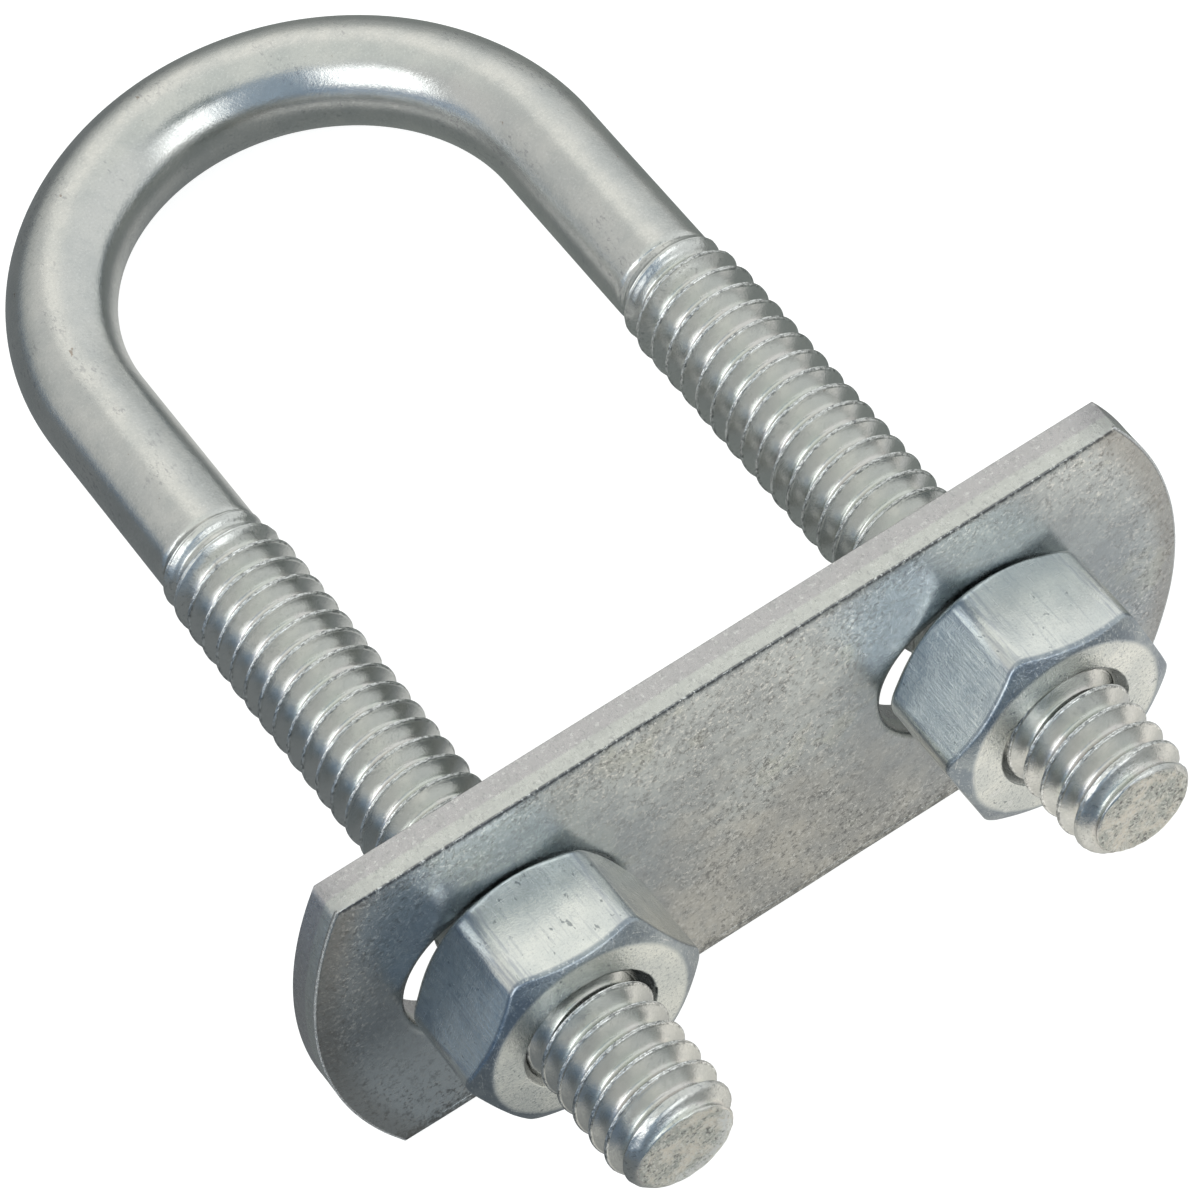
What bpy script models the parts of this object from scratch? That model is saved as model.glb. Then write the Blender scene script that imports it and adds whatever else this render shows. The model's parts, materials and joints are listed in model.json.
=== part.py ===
"""U-bolt clamp: a bent rod with two threaded legs, a slotted clamp plate and two hex nuts.

X runs along the plate, Y along the legs towards the bend, and Z is up. The U lies in the plane
Z = 0. The origin is the centre of the plate's clamping face, which looks towards the bend.
"""

import math

import bmesh
import bpy
from mathutils import Matrix, Vector

MM = 0.001

# Driving dimensions: the bent rod
LEG_SPACING = 25.9 * MM
SHANK_RADIUS = 2.73 * MM
BEND_CENTRE_Y = 35.5 * MM
THREAD_START_Y = 25.0 * MM
LEFT_LEG_END_Y = -15.5 * MM
RIGHT_LEG_END_Y = -13.7 * MM

# Driving dimensions: the right-hand 60 degree thread on both legs
THREAD_PITCH = 1.27 * MM
THREAD_MAJOR_RADIUS = 3.15 * MM
THREAD_DEPTH = 0.6134 * THREAD_PITCH
THREAD_CREST_WIDTH = THREAD_PITCH / 8
FLANK_ANGLE = math.radians(30)
LEFT_CREST_Y = 0.85 * MM
RIGHT_CREST_Y = 0.50 * MM

# Driving dimensions: the clamp plate
PLATE_LENGTH = 47.0 * MM
PLATE_WIDTH = 19.7 * MM
PLATE_THICKNESS = 2.0 * MM
PLATE_END_RADIUS = 19.6 * MM
SLOT_LENGTH = 11.4 * MM
SLOT_WIDTH = 8.2 * MM
SLOT_SHIFT = -0.35 * MM

# Driving dimensions: the nuts
NUT_SIDES = 6
NUT_ACROSS_FLATS = 10.95 * MM
NUT_THICKNESS = 5.74 * MM
NUT_CHAMFER_ANGLE = math.radians(30)
NUT_FACE_RADIUS = 0.475 * NUT_ACROSS_FLATS
NUT_MOUTH_RADIUS = 3.55 * MM
NUT_EDGE_RADIUS = 1.1 * MM
LEFT_NUT_CORNER_ANGLE = 56.2
RIGHT_NUT_CORNER_ANGLE = 46.7

# Clearances between neighbouring pieces
SEAT_GAP = 0.1 * MM
THREAD_CLEARANCE = 0.13 * MM

# The thread's ends: spare turns below it, the fade into the shank, and its bed in the rod
SPARE_TURNS = 2
RUN_OUT_LENGTH = 1.2 * THREAD_PITCH
SHOULDER_LENGTH = 0.4 * THREAD_PITCH
CORE_INSET = 0.06 * MM

# Fineness of the curved surfaces
TURN_STEPS = 16
BEND_STEPS = 28
ROD_BEVEL_RESOLUTION = 3
ROD_TILT = math.pi / TURN_STEPS
PLATE_ARC_STEPS = 12
SLOT_ARC_STEPS = 10
NUT_EDGE_STEPS = 4
SMOOTH_BELOW_ANGLE = math.radians(30)

# How far cutting shapes reach past the surfaces that they trim
OVERSHOOT = 0.5 * MM
WELD_DISTANCE = 0.001 * MM

# Materials as (name, colour, roughness)
ROD_ZINC = ("rod_zinc", (0.58, 0.60, 0.59), 0.30)
PLATE_ZINC = ("plate_zinc", (0.50, 0.52, 0.52), 0.42)
NUT_ZINC = ("nut_zinc", (0.60, 0.63, 0.63), 0.28)

# Sizes that follow from the ones above
THREAD_MINOR_RADIUS = THREAD_MAJOR_RADIUS - THREAD_DEPTH
CORE_RADIUS = SHANK_RADIUS * math.cos(math.pi / TURN_STEPS) - CORE_INSET
NUT_CORNER_RADIUS = NUT_ACROSS_FLATS / math.sqrt(3)
NUT_SEAT_Y = -PLATE_THICKNESS - SEAT_GAP
LEG_X = LEG_SPACING / 2


def clear_scene():
    for item in list(bpy.data.objects):
        bpy.data.objects.remove(item, do_unlink=True)


def make_collection(name, hidden=False):
    collection = bpy.data.collections.new(name)
    collection.hide_render = hidden
    bpy.context.scene.collection.children.link(collection)
    return collection


def make_metal(name, colour, roughness):
    """A plain metallic Principled BSDF material."""
    material = bpy.data.materials.new(name)
    material.use_nodes = True
    shader = material.node_tree.nodes["Principled BSDF"]
    shader.inputs["Base Color"].default_value = (*colour, 1)
    shader.inputs["Roughness"].default_value = roughness
    shader.inputs["Metallic"].default_value = 1.0
    return material


def add_mesh_object(name, mesh, collection):
    item = bpy.data.objects.new(name, mesh)
    collection.objects.link(item)
    return item


def as_cutter(item):
    """Mark an object as a guide that only trims or joins other objects."""
    item.hide_render = True
    item.display_type = "WIRE"
    return item


def along_leg(x, y=0.0):
    """Placement that turns an object's local Z into world +Y, on the leg axis at x."""
    return Matrix.Translation((x, y, 0)) @ Matrix.Rotation(math.radians(-90), 4, "X")


def evaluated_mesh(item):
    """The mesh of an object with its modifiers, or its curve settings, applied."""
    graph = bpy.context.evaluated_depsgraph_get()
    graph.update()
    return bpy.data.meshes.new_from_object(item.evaluated_get(graph))


def profile_mesh(name, points):
    """An open chain of edges in the XZ plane through (radius, height) points."""
    mesh = bpy.data.meshes.new(name)
    chain = [(index, index + 1) for index in range(len(points) - 1)]
    mesh.from_pydata([(radius, 0, height) for radius, height in points], chain, [])
    return mesh


def spin(item, turns=1, rise=0.0):
    """Turn a profile about local Z, climbing by rise on each turn."""
    screw = item.modifiers.new("Spin", "SCREW")
    screw.axis = "Z"
    screw.angle = math.radians(360)
    screw.screw_offset = rise
    screw.iterations = turns
    screw.steps = TURN_STEPS
    screw.render_steps = TURN_STEPS
    screw.use_merge_vertices = True
    screw.merge_threshold = WELD_DISTANCE


def turned_cutter(name, points, placement, collection):
    """A closed turned body. Its profile runs top to bottom and meets the axis at both ends."""
    item = as_cutter(add_mesh_object(name, profile_mesh(name, points), collection))
    spin(item)
    item.matrix_world = placement
    return item


def combine(item, other, operation):
    """Join, cut or intersect an object with another one."""
    boolean = item.modifiers.new(f"{operation.title()} {other.name}", "BOOLEAN")
    boolean.operation = operation
    boolean.solver = "EXACT"
    boolean.object = other


def close_thread_end(shape, edges):
    """Fan a loop of open edges to a point on the axis at the loop's middle height."""
    heights = [vertex.co.z for edge in edges for vertex in edge.verts]
    middle = Vector((0, 0, (min(heights) + max(heights)) / 2))
    skirt = bmesh.ops.extrude_edge_only(shape, edges=edges)["geom"]
    rim = [element for element in skirt if isinstance(element, bmesh.types.BMVert)]
    bmesh.ops.pointmerge(shape, verts=rim, merge_co=middle)


def thread_profile(clearance):
    """One pitch of the thread from crest to crest, grown outwards by the clearance.

    The ridge's half width grows with depth at the flank angle. The list runs top to bottom.
    """
    crest_radius = THREAD_MAJOR_RADIUS + clearance
    root_radius = THREAD_MINOR_RADIUS + clearance
    widening = clearance / math.cos(FLANK_ANGLE) - clearance * math.tan(FLANK_ANGLE)
    crest_half = THREAD_CREST_WIDTH / 2 + widening
    root_half = crest_half + THREAD_DEPTH * math.tan(FLANK_ANGLE)
    return [
        (crest_radius, THREAD_PITCH + crest_half),
        (crest_radius, THREAD_PITCH - crest_half),
        (root_radius, THREAD_PITCH - root_half),
        (root_radius, root_half),
        (crest_radius, crest_half),
    ]


def threaded_bar(crest_y, low_y, high_y, clearance, collection):
    """A closed right-hand threaded bar as a bmesh, its local Z the leg's Y.

    It covers low_y to high_y. crest_y is where the middle of a crest crosses the bar's +X side,
    give or take whole pitches.
    """
    first_turn = math.floor((low_y - crest_y) / THREAD_PITCH) - SPARE_TURNS
    last_turn = math.ceil((high_y - crest_y) / THREAD_PITCH)
    guide = add_mesh_object("thread_guide", profile_mesh("thread", thread_profile(clearance)), collection)
    spin(guide, last_turn - first_turn, THREAD_PITCH)
    shape = bmesh.new()
    shape.from_mesh(evaluated_mesh(guide))
    bpy.data.objects.remove(guide, do_unlink=True)

    bmesh.ops.remove_doubles(shape, verts=shape.verts, dist=WELD_DISTANCE)
    bmesh.ops.translate(shape, verts=shape.verts, vec=(0, 0, crest_y + first_turn * THREAD_PITCH))
    open_edges = [edge for edge in shape.edges if edge.is_boundary]
    middle = (low_y + high_y) / 2
    low_edges = [edge for edge in open_edges if edge.verts[0].co.z < middle]
    high_edges = [edge for edge in open_edges if edge.verts[0].co.z > middle]
    close_thread_end(shape, low_edges)
    close_thread_end(shape, high_edges)
    bmesh.ops.recalc_face_normals(shape, faces=shape.faces)
    return shape


def bar_object(name, shape, x, collection):
    """Turn a bar's bmesh into a guide object on the leg axis at x."""
    mesh = bpy.data.meshes.new(name)
    shape.to_mesh(mesh)
    shape.free()
    item = add_mesh_object(name, mesh, collection)
    item.matrix_world = along_leg(x)
    return as_cutter(item)


def root_radius_at(y):
    """The roots rise to the core radius along the run-out, where the thread fades out."""
    rise = (y - THREAD_START_Y + RUN_OUT_LENGTH) / RUN_OUT_LENGTH
    return THREAD_MINOR_RADIUS + (CORE_RADIUS - THREAD_MINOR_RADIUS) * min(max(rise, 0), 1)


def crest_radius_at(y, end_y):
    """The crests drop along the shoulder, and along a 45 degree chamfer at the leg's end."""
    fall = min(max((y - THREAD_START_Y + SHOULDER_LENGTH) / SHOULDER_LENGTH, 0), 1)
    shoulder = THREAD_MAJOR_RADIUS - (THREAD_MAJOR_RADIUS - CORE_RADIUS) * fall
    chamfer = THREAD_MINOR_RADIUS + y - end_y
    return min(shoulder, chamfer)


def leg_thread(name, x, crest_y, end_y, collection):
    """The rolled thread of one leg: cut flat at the leg's end, closed inside the shank."""
    shape = threaded_bar(crest_y, end_y, THREAD_START_Y, 0, collection)
    everything = list(shape.verts) + list(shape.edges) + list(shape.faces)
    bmesh.ops.bisect_plane(
        shape,
        geom=everything,
        dist=WELD_DISTANCE,
        plane_co=(0, 0, end_y),
        plane_no=(0, 0, 1),
        clear_inner=True,
    )
    bmesh.ops.holes_fill(shape, edges=[edge for edge in shape.edges if edge.is_boundary])
    for vertex in shape.verts:
        radius = vertex.co.xy.length
        if radius > THREAD_MINOR_RADIUS / 2:
            y = vertex.co.z
            wanted = max(min(radius, crest_radius_at(y, end_y)), root_radius_at(y))
            vertex.co.xy *= wanted / radius
    bmesh.ops.recalc_face_normals(shape, faces=shape.faces)
    return bar_object(name, shape, x, collection)


def smooth_by_angle(mesh):
    mesh.shade_smooth()
    mesh.set_sharp_from_angle(angle=SMOOTH_BELOW_ANGLE)


def bent_rod(collection):
    """The U's plain rod: a half circle and two shanks that end where the threads start."""
    curve = bpy.data.curves.new("u_bolt_path", "CURVE")
    curve.dimensions = "3D"
    curve.bevel_depth = SHANK_RADIUS
    curve.bevel_resolution = ROD_BEVEL_RESOLUTION
    curve.use_fill_caps = True
    path = [(LEG_X, THREAD_START_Y)]
    for step in range(BEND_STEPS + 1):
        angle = math.pi * step / BEND_STEPS
        path.append((LEG_X * math.cos(angle), BEND_CENTRE_Y + LEG_X * math.sin(angle)))
    path.append((-LEG_X, THREAD_START_Y))

    spline = curve.splines.new("POLY")
    spline.points.add(len(path) - 1)
    for point, (x, y) in zip(spline.points, path):
        point.co = (x, y, 0, 1)
        point.tilt = ROD_TILT

    guide = bpy.data.objects.new("u_bolt_path", curve)
    collection.objects.link(guide)
    mesh = evaluated_mesh(guide)
    shape = bmesh.new()
    shape.from_mesh(mesh)
    bmesh.ops.remove_doubles(shape, verts=shape.verts, dist=WELD_DISTANCE)
    shape.to_mesh(mesh)
    shape.free()
    item = add_mesh_object("u_bolt", mesh, collection)
    item.matrix_world = guide.matrix_world
    bpy.data.objects.remove(guide, do_unlink=True)
    return item


def make_u_bolt(collection, cutters, material):
    """The bent rod with a rolled thread on each leg."""
    rod = bent_rod(collection)
    legs = (
        ("left", -LEG_X, LEFT_CREST_Y, LEFT_LEG_END_Y),
        ("right", LEG_X, RIGHT_CREST_Y, RIGHT_LEG_END_Y),
    )
    for side, x, crest_y, end_y in legs:
        combine(rod, leg_thread(f"{side}_leg_thread", x, crest_y, end_y, cutters), "UNION")
    rod.data.materials.clear()
    rod.data.materials.append(material)
    smooth_by_angle(rod.data)
    return rod


def outline_spline(curve, points):
    spline = curve.splines.new("POLY")
    spline.points.add(len(points) - 1)
    for point, (x, y) in zip(spline.points, points):
        point.co = (x, y, 0, 1)
    spline.use_cyclic_u = True


def arc_points(centre_x, radius, start, end, steps):
    """Points on an arc about (centre_x, 0), from the start to the end angle."""
    angles = [start + (end - start) * step / steps for step in range(steps + 1)]
    return [(centre_x + radius * math.cos(angle), radius * math.sin(angle)) for angle in angles]


def plate_outline():
    """Straight long edges, closed by an arc at each end."""
    centre_x = PLATE_LENGTH / 2 - PLATE_END_RADIUS
    half_angle = math.asin(PLATE_WIDTH / 2 / PLATE_END_RADIUS)
    right = arc_points(centre_x, PLATE_END_RADIUS, -half_angle, half_angle, PLATE_ARC_STEPS)
    left = [(-x, -y) for x, y in right]
    return right + left


def slot_outline(leg_x):
    """A slot round the leg at leg_x, its length along the plate and its middle a little to one side."""
    x = leg_x + SLOT_SHIFT
    radius = SLOT_WIDTH / 2
    reach = (SLOT_LENGTH - SLOT_WIDTH) / 2
    quarter = math.pi / 2
    right = arc_points(x + reach, radius, -quarter, quarter, SLOT_ARC_STEPS)
    left = arc_points(x - reach, radius, quarter, 3 * quarter, SLOT_ARC_STEPS)
    return right + left


def make_clamp_plate(collection, material):
    """A flat punched strip. Its outline is drawn in XY and stood up to face along Y."""
    curve = bpy.data.curves.new("clamp_plate", "CURVE")
    curve.dimensions = "2D"
    curve.fill_mode = "BOTH"
    curve.extrude = PLATE_THICKNESS / 2
    outline_spline(curve, plate_outline())
    outline_spline(curve, slot_outline(-LEG_X))
    outline_spline(curve, slot_outline(LEG_X))
    curve.materials.append(material)
    plate = bpy.data.objects.new("clamp_plate", curve)
    collection.objects.link(plate)
    plate.matrix_world = along_leg(0, -PLATE_THICKNESS / 2)
    return plate


def nut_chamfer_envelope(name, x, collection):
    """A turned body that rounds a hexagon's corners towards both faces."""
    half = NUT_THICKNESS / 2
    corner = NUT_CORNER_RADIUS + OVERSHOOT
    drop = (corner - NUT_FACE_RADIUS) * math.tan(NUT_CHAMFER_ANGLE)
    points = [
        (0, half),
        (NUT_FACE_RADIUS, half),
        (corner, half - drop),
        (corner, drop - half),
        (NUT_FACE_RADIUS, -half),
        (0, -half),
    ]
    return turned_cutter(name, points, along_leg(x, NUT_SEAT_Y - half), collection)


def nut_mouth_cutter(name, x, collection):
    """Two cones, tip to tip, that countersink the nut's threaded hole at both faces."""
    half = NUT_THICKNESS / 2
    waist = THREAD_MINOR_RADIUS - OVERSHOOT
    depth = NUT_MOUTH_RADIUS - waist
    outer = NUT_MOUTH_RADIUS + OVERSHOOT
    points = [
        (0, half + OVERSHOOT),
        (outer, half + OVERSHOOT),
        (waist, half - depth),
        (waist, depth - half),
        (outer, -half - OVERSHOOT),
        (0, -half - OVERSHOOT),
    ]
    return turned_cutter(name, points, along_leg(x, NUT_SEAT_Y - half), collection)


def round_long_edges(shape):
    """Round the six edges of a hexagonal prism that run along its axis."""
    long_edges = []
    for edge in shape.edges:
        first, second = edge.verts
        if abs(first.co.z - second.co.z) > NUT_THICKNESS / 2:
            long_edges.append(edge)
    bmesh.ops.bevel(
        shape,
        geom=long_edges,
        offset=NUT_EDGE_RADIUS * math.tan(math.pi / NUT_SIDES),
        segments=NUT_EDGE_STEPS,
        profile=0.5,
        affect="EDGES",
    )


def make_nut(name, x, crest_y, corner_angle, collection, cutters, material):
    """A double-chamfered hex nut whose thread meshes with its leg's thread.

    corner_angle is the direction of one corner, in degrees from +X towards +Z.
    """
    mesh = bpy.data.meshes.new(name)
    shape = bmesh.new()
    bmesh.ops.create_cone(
        shape,
        cap_ends=True,
        segments=NUT_SIDES,
        radius1=NUT_CORNER_RADIUS,
        radius2=NUT_CORNER_RADIUS,
        depth=NUT_THICKNESS,
        matrix=Matrix.Rotation(math.radians(-corner_angle), 4, "Z"),
    )
    round_long_edges(shape)
    shape.to_mesh(mesh)
    shape.free()
    mesh.materials.append(material)
    nut = add_mesh_object(name, mesh, collection)
    nut.matrix_world = along_leg(x, NUT_SEAT_Y - NUT_THICKNESS / 2)

    low_y = NUT_SEAT_Y - NUT_THICKNESS
    combine(nut, nut_chamfer_envelope(f"{name}_chamfer", x, cutters), "INTERSECT")
    combine(nut, nut_mouth_cutter(f"{name}_mouth", x, cutters), "DIFFERENCE")
    tap = threaded_bar(crest_y, low_y, NUT_SEAT_Y, THREAD_CLEARANCE, cutters)
    combine(nut, bar_object(f"{name}_tap", tap, x, cutters), "DIFFERENCE")
    return nut


def main():
    clear_scene()
    parts = make_collection("u_bolt_clamp")
    cutters = make_collection("cutters", hidden=True)
    nut_zinc = make_metal(*NUT_ZINC)
    make_u_bolt(parts, cutters, make_metal(*ROD_ZINC))
    make_clamp_plate(parts, make_metal(*PLATE_ZINC))
    left = ("left_nut", -LEG_X, LEFT_CREST_Y, LEFT_NUT_CORNER_ANGLE)
    right = ("right_nut", LEG_X, RIGHT_CREST_Y, RIGHT_NUT_CORNER_ANGLE)
    for name, x, crest_y, corner_angle in (left, right):
        make_nut(name, x, crest_y, corner_angle, parts, cutters, nut_zinc)


main()
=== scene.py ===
"""Looks for the U-bolt clamp: rolled threads, chamfered nuts, a punched plate and bright zinc.

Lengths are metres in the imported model's own frame: X along the plate, Y along the legs
towards the bend, Z up. The scene is built round the CAD bodies, and every piece rides on one.
"""

import json
import math

import bmesh
import bpy
from mathutils import Matrix, Vector, noise
from mathutils.geometry import tessellate_polygon


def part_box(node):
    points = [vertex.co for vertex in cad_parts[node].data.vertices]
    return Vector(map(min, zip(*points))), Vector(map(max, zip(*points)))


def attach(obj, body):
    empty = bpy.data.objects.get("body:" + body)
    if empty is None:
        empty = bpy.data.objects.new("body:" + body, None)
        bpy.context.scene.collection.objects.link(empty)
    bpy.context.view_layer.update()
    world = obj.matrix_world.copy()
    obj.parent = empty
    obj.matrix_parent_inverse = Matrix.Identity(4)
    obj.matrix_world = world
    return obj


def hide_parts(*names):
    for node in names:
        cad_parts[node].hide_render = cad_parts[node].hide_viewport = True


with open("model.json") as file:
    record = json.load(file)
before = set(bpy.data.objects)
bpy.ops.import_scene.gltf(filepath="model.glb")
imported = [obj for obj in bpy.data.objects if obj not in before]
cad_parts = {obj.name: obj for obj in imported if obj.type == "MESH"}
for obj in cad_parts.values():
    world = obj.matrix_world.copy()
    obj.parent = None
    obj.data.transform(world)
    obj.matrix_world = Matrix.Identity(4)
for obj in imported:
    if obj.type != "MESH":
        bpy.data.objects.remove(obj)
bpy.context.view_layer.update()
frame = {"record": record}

MM = 0.001
TAU = 2 * math.pi

# ---------------------------------------------------------------- sizes from the frame
RECORD = frame["record"]["behaviour"]
JOINTS = {joint["name"]: joint for joint in RECORD["joints"]}
COUPLINGS = {coupling["joint"]: coupling for coupling in RECORD["couplings"]}
ROD_LOW, ROD_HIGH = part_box("u_bolt")
PLATE_LOW, PLATE_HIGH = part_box("clamp_plate")
NUT_LOW, NUT_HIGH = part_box("right_nut")

LEG_X = JOINTS["right_nut_spin"]["pos_m"][0]
PITCH = TAU / COUPLINGS["right_nut_spin"]["ratio"]
MAJOR_RADIUS = ROD_HIGH.x - LEG_X
MINOR_RADIUS = MAJOR_RADIUS - 0.6134 * PITCH
LEFT_LEG_END_Y = ROD_LOW.y
RIGHT_LEG_END_Y = LEFT_LEG_END_Y + 1.8 * MM
LEFT_CUT_RADIUS = 2.15 * MM
RIGHT_CUT_RADIUS = 2.32 * MM

SHANK_RADIUS = 2.73 * MM
BEND_CENTRE_Y = 35.5 * MM
THREAD_START_Y = 25.0 * MM
LEFT_CREST_Y = 0.85 * MM
RIGHT_CREST_Y = 0.50 * MM

PLATE_END_RADIUS = 19.6 * MM
SLOT_LENGTH = 11.4 * MM
SLOT_WIDTH = 8.2 * MM
SLOT_SHIFT = -0.35 * MM

NUT_ACROSS_FLATS = 10.95 * MM
NUT_FACE_RADIUS = 5.2 * MM
NUT_MOUTH_RADIUS = 3.55 * MM
NUT_EDGE_RADIUS = 1.1 * MM
NUT_SLOPE = math.tan(math.radians(30))
THREAD_CLEARANCE = 0.13 * MM
LEFT_NUT_CORNER = math.radians(-56.2)
RIGHT_NUT_CORNER = math.radians(-46.7)

# Half of one pitch of the rolled thread: distance from the crest's middle and height above
# the root, as shares of the pitch and of the depth. The crest has a shallow seam.
THREAD_SHAPE = (
    (0.0, 0.945),
    (0.018, 0.962),
    (0.034, 0.995),
    (0.050, 0.990),
    (0.068, 0.945),
    (0.095, 0.865),
    (0.165, 0.655),
    (0.235, 0.450),
    (0.300, 0.275),
    (0.355, 0.150),
    (0.405, 0.065),
    (0.455, 0.016),
    (0.5, 0.0),
)
ROD_COLUMNS = 128
BEND_RINGS = 96


# ---------------------------------------------------------------- small helpers
def clamp(value, low=0.0, high=1.0):
    return min(max(value, low), high)


def smooth(value, low, high):
    """0 below low, 1 above high, smooth between."""
    t = clamp((value - low) / (high - low))
    return t * t * (3 - 2 * t)


def wobble(x, y, z, scale, seed=0.0):
    """Smooth noise in about -1..1 for a point in metres, at a feature size in metres."""
    return noise.noise(Vector((x / scale + seed, y / scale - seed, z / scale + 2 * seed)))


def around(angle):
    """Unit direction round a leg. Positive angles turn by the right hand about +Y."""
    return Vector((math.cos(angle), 0, -math.sin(angle)))


def link(name, shape, body, node, material):
    """Close a bmesh into an object that stands for a CAD node."""
    bmesh.ops.recalc_face_normals(shape, faces=shape.faces)
    mesh = bpy.data.meshes.new(name)
    shape.to_mesh(mesh)
    shape.free()
    for polygon in mesh.polygons:
        polygon.use_smooth = True
    item = bpy.data.objects.new(name, mesh)
    bpy.context.scene.collection.objects.link(item)
    mesh.materials.append(material)
    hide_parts(node)
    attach(item, body)
    return item


def make_face(shape, corners):
    """A face from corners, some of which may be the same vertex."""
    unique = []
    for vertex in corners:
        if vertex not in unique:
            unique.append(vertex)
    if len(unique) > 2:
        shape.faces.new(unique)


def bridge(shape, lower, upper):
    """Quads between two closed rings of equal length."""
    count = len(lower)
    for index in range(count):
        after = (index + 1) % count
        make_face(shape, (lower[index], lower[after], upper[after], upper[index]))


def thread_samples():
    """One pitch as (position, height), both as shares, from one root to just before the next."""
    falling = [(1 - place, height) for place, height in reversed(THREAD_SHAPE[1:])]
    rising = list(THREAD_SHAPE[:-1])
    return [(place, height) for place, height in rising + falling]


def helical_wall(shape, x, crest_y, low, high, angles, radius_at):
    """A threaded wall round a leg whose rows follow the helix, cut flat at low and high.

    radius_at(y, height, angle) gives the radius. Returns the rings at low and high.
    """
    samples = thread_samples()
    per_turn = len(samples)
    columns = len(angles)
    margin = 0.012 * MM
    first = math.floor((low - crest_y) / PITCH) - 2
    last = math.ceil((high - crest_y) / PITCH) + 1
    rows = [
        (crest_y + (turn + place) * PITCH, height)
        for turn in range(first, last)
        for place, height in samples
    ]

    def point(y, height, angle):
        return Vector((x, y, 0)) + around(angle) * radius_at(y, height, angle)

    def ring(y):
        made = []
        for angle in angles:
            made.append(shape.verts.new(point(y, None, angle)))
        return made

    low_ring, high_ring = ring(low), ring(high)
    made = {}

    def vertex(column, row):
        if column == columns:
            column, row = 0, row + per_turn
        base, height = rows[row]
        y = base + PITCH * angles[column] / TAU
        if y <= low + margin:
            return low_ring[column]
        if y >= high - margin:
            return high_ring[column]
        if (column, row) not in made:
            made[column, row] = shape.verts.new(point(y, height, angles[column]))
        return made[column, row]

    for column in range(columns):
        for row in range(len(rows) - 1 - per_turn):
            corners = (
                vertex(column, row),
                vertex(column + 1, row),
                vertex(column + 1, row + 1),
                vertex(column, row + 1),
            )
            make_face(shape, corners)
    return low_ring, high_ring


def fan(shape, ring, point):
    tip = shape.verts.new(point)
    for index in range(len(ring)):
        make_face(shape, (ring[index], ring[(index + 1) % len(ring)], tip))


# ---------------------------------------------------------------- the bent rod
def leg_radius(x, end_y, face_radius, seed):
    """The radius of one threaded leg at a height, thread height and angle."""
    taper = 1.55 * PITCH
    fade = 1.9 * PITCH
    groove = 0.06 * MM

    def radius_at(y, height, angle):
        side = around(angle) * 3 * MM
        rough = wobble(x + side.x, y * 2.6, side.z, 0.8 * MM, seed)
        slow = wobble(x + side.x, y, side.z, 3.2 * MM, seed + 7)
        if height is None and y < 0:
            return face_radius + 0.05 * MM * rough + 0.05 * MM * slow
        if height is None:
            return SHANK_RADIUS - groove
        below_start = THREAD_START_Y - y
        form = MINOR_RADIUS + (MAJOR_RADIUS - MINOR_RADIUS) * height
        form += (0.012 * slow + 0.006 * rough) * height * MM
        growth = clamp(below_start / fade + 0.10 * slow + 0.05 * rough) ** 0.65
        radius = SHANK_RADIUS + growth * (form - SHANK_RADIUS)
        # The first turns are torn and rippled, and a small groove marks where they begin
        torn = smooth(below_start, 0, 0.2 * PITCH) * (1 - smooth(below_start, PITCH, 1.6 * fade))
        fine = wobble(x + side.x, y * 1.6, side.z, 0.3 * MM, seed + 2)
        radius += (0.014 * fine + 0.014 * rough) * torn * MM
        ripple = math.sin(TAU * (y - PITCH * angle / TAU) / (0.34 * PITCH) + 1.2 * slow)
        rippled = smooth(below_start, 0.1 * PITCH, 0.4 * PITCH)
        rippled *= 1 - smooth(below_start, PITCH, 2.1 * PITCH)
        radius += 0.034 * ripple * rippled * MM
        radius -= groove * (1 - smooth(below_start, 0.03 * PITCH, 0.14 * PITCH))
        from_end = y - end_y
        if from_end < taper:
            # The last turns shrink along a quarter of an ellipse down to the cut
            bulge = math.sqrt(clamp(1 - (1 - clamp(from_end / taper)) ** 2))
            limit = face_radius + (MAJOR_RADIUS - face_radius) * bulge
            limit += (0.035 * rough + 0.03 * wobble(x + side.x, y * 2, side.z, 0.3 * MM, seed)) * MM
            floor = face_radius - 0.1 * MM + (MINOR_RADIUS - face_radius + 0.1 * MM) * bulge
            radius = min(radius, limit)
            radius = max(radius, min(floor, limit))
        return radius

    return radius_at


def cut_face(shape, ring, x, y, seed):
    """The sheared, grainy flat at a leg's end, built in from its rim."""
    shares = (0.975, 0.94, 0.88, 0.8, 0.72, 0.64, 0.56, 0.48, 0.4, 0.32, 0.24, 0.16, 0.08)
    outer = ring
    for share in shares:
        inner = []
        for vertex in ring:
            spoke = Vector((vertex.co.x - x, 0, vertex.co.z))
            place = Vector((x, y, 0)) + spoke * share
            grain = wobble(place.x, place.y, place.z, 0.34 * MM, seed)
            swell = wobble(place.x, place.y, place.z, 1.7 * MM, seed + 3)
            depth = (0.030 * grain + 0.07 * swell) * MM * (1 - share ** 10)
            dish = 0.07 * MM * smooth(1 - share, 0.0, 0.10)
            place.y = y + clamp(dish + depth, 0.0, 0.2 * MM)
            inner.append(shape.verts.new(place))
        bridge(shape, outer, inner)
        outer = inner
    fan(shape, outer, (x, y + 0.04 * MM, 0))


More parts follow.
